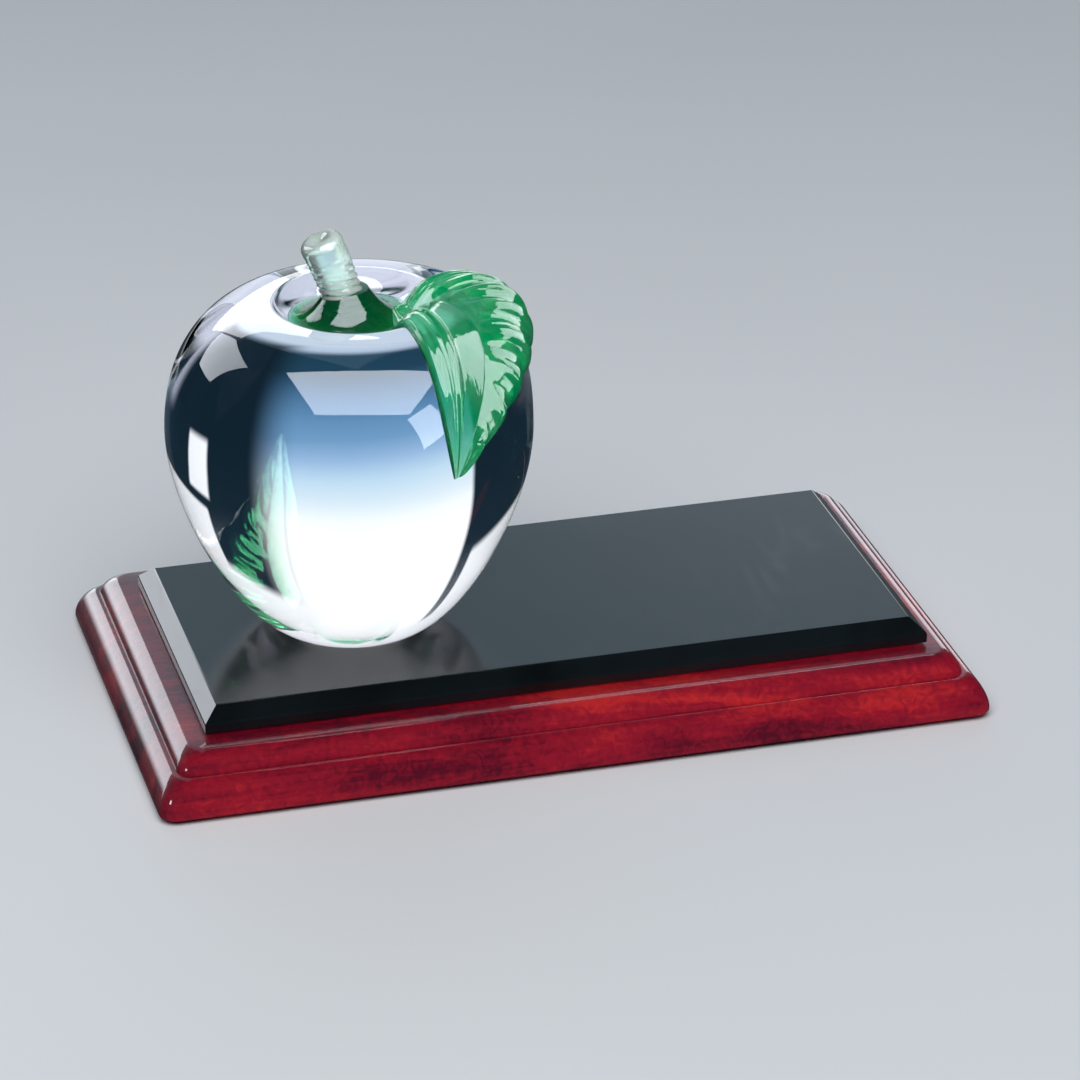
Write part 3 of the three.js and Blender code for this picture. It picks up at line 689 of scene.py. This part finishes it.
SHEET_AZIMUTH, SHEET_LEFT_EDGE, SHEET_RIGHT_EDGE = 176, (0.41, 0.45), (-0.68, -0.37)
FACING = (0.0, 0.05)
SHEET_STOPS = [
    (0.09, (0.6, 0.7, 0.85, 1)), (0.106, (0.45, 0.57, 0.74, 1)), (0.118, (0.012, 0.05, 0.09, 1)),
    (0.165, (0.016, 0.06, 0.11, 1)), (0.2, (0.05, 0.14, 0.27, 1)), (0.265, (0.13, 0.3, 0.53, 1)),
    (0.30, (0.18, 0.37, 0.62, 1)), (0.33, (0.34, 0.54, 0.82, 1)), (0.36, (0.58, 0.8, 0.99, 1)),
    (0.39, (0.78, 0.94, 1.05, 1)), (0.43, (1.05, 1.12, 1.18, 1)), (0.48, (1.2, 1.22, 1.25, 1))]
MIRRORED_STOPS = [
    (0.38, (0.05, 0.06, 0.07, 1)), (0.43, (0.9, 0.97, 1.05, 1)), (0.58, (0.9, 0.97, 1.05, 1)),
    (0.68, (0.5, 0.68, 0.8, 1)), (0.8, (0.4, 0.56, 0.68, 1))]
DIM_BELOW, DIM_ABOVE = (0.005, 0.015, 0.027, 1), (0.015, 0.032, 0.05, 1)
TABLE_PALE, CARD_WHITE = (0.66, 0.7, 0.86, 1), (1.1, 1.14, 1.2, 1)
world = bpy.data.worlds.new("studio")
world.use_nodes = True
world.node_tree.nodes.clear()
looking = Wire(world.node_tree).make("TexCoord", {}, {}, output="Generated")
upward = looking.make("SeparateXYZ", {}, {"Vector": looking}, output="Z")


def component(azimuth):
    """How far the look goes level towards an azimuth."""
    return looking.make("VectorMath", {"operation": "DOT_PRODUCT"},
                        {0: looking, 1: heading(azimuth, 0)}, output="Value")


def aside_share(azimuth):
    """How far the look goes aside from an azimuth, as a share of how far it goes towards it: under
    0 on the side of smaller azimuths."""
    return component(azimuth + 90) / component(azimuth)


def sector(azimuth, low, high, soft=0.03):
    """1 where the look goes between two shares aside from an azimuth, with soft edges."""
    share = aside_share(azimuth)
    inside = share.between(low - soft, low) * (1 - share.between(high, high + soft))
    return component(azimuth).between(*FACING) * inside


def above(low, high):
    """1 where the look goes up more than high, fading to 0 at low."""
    return upward.between(low, high)


def below(low, high):
    """1 where the look goes up less than low, fading to 0 at high."""
    return 1 - upward.between(low, high)


# The sheet behind, with the table in front of it and the steep look down on to its foot.
ahead, aside = component(SHEET_AZIMUTH), aside_share(SHEET_AZIMUTH)
behind = (ahead.between(*FACING) * aside.between(*SHEET_RIGHT_EDGE)
          * (1 - aside.between(*SHEET_LEFT_EDGE)))
steep = below(-0.82, -0.78)
table = (1 - ahead.between(0.0, 0.2)) * below(-0.4, -0.28)
front_low = component(8).between(0.8, 0.9) * below(0.1, 0.2)
# White cards: a strip low on the right, one above it, one on each side and one overhead.
strip = sector(121, -0.08, 0.08) * above(-0.34, -0.3) * below(-0.09, -0.06)
low_right = sector(108, -0.4, 0.28) * above(-0.03, 0)
left_side = sector(-132, -0.42, 0.3) * above(0.12, 0.18)
right_side = component(100).between(0.45, 0.6) * above(0.2, 0.28)
white = strip
for card in (above(0.55, 0.66), right_side, low_right, left_side):
    white = white.math("MAXIMUM", white, card)
height = 0.5 + 0.5 * upward
dim = above(-0.5, 0.5).mixed(DIM_BELOW, DIM_ABOVE)
sheet = height.make("ValToRGB", {"stops": SHEET_STOPS}, {"Fac": height})
through_glass = steep.math("MAXIMUM", steep, behind).mixed(dim, sheet)
through_glass = table.math("MAXIMUM", table, front_low).mixed(through_glass, TABLE_PALE)
through_glass = white.mixed(through_glass, CARD_WHITE)
mirrored_sheet = height.make("ValToRGB", {"stops": MIRRORED_STOPS}, {"Fac": height})
is_through = looking.make("LightPath", {}, {}, output="Is Transmission Ray")
seen_colour = is_through.mixed(behind.mixed(dim, mirrored_sheet), through_glass)
shown = looking.make("Background", {}, {"Color": seen_colour, "Strength": 1.0})
looking.make("OutputWorld", {}, {"Surface": shown})
bpy.context.scene.world = world

# Camera
# A long lens in front, a little to the left, looking down at the slab, as the photograph was taken.
# The light takes many turns through the crystal before it is let go.
CAMERA_PLACE = (-0.23704, -0.87381, 0.46877)
CAMERA_RIGHT, CAMERA_UP = (0.9640954, -0.26555612, 0), (0.11582859, 0.42051303, 0.8998625)
CAMERA_BACK = (-0.23896399, -0.86755331, 0.43617367)
SENSOR_WIDTH, FOCAL_LENGTH = 36, 158.204
NEAREST, FARTHEST = 0.05, 20
GLASS_BOUNCES, MIRROR_BOUNCES = 24, 12
lens = bpy.data.cameras.new("camera")
lens.sensor_width, lens.lens = SENSOR_WIDTH, FOCAL_LENGTH
lens.clip_start, lens.clip_end = NEAREST, FARTHEST
camera = bpy.data.objects.new("camera", lens)
camera.matrix_world = (Matrix.Translation(CAMERA_PLACE)
                       @ Matrix((CAMERA_RIGHT, CAMERA_UP, CAMERA_BACK)).transposed().to_4x4())
scene = bpy.context.scene
scene.collection.objects.link(camera)
scene.camera = camera
scene.view_settings.view_transform = "Standard"
scene.cycles.max_bounces = scene.cycles.transmission_bounces = GLASS_BOUNCES
scene.cycles.glossy_bounces = MIRROR_BOUNCES
scene.cycles.caustics_refractive = scene.cycles.caustics_reflective = False
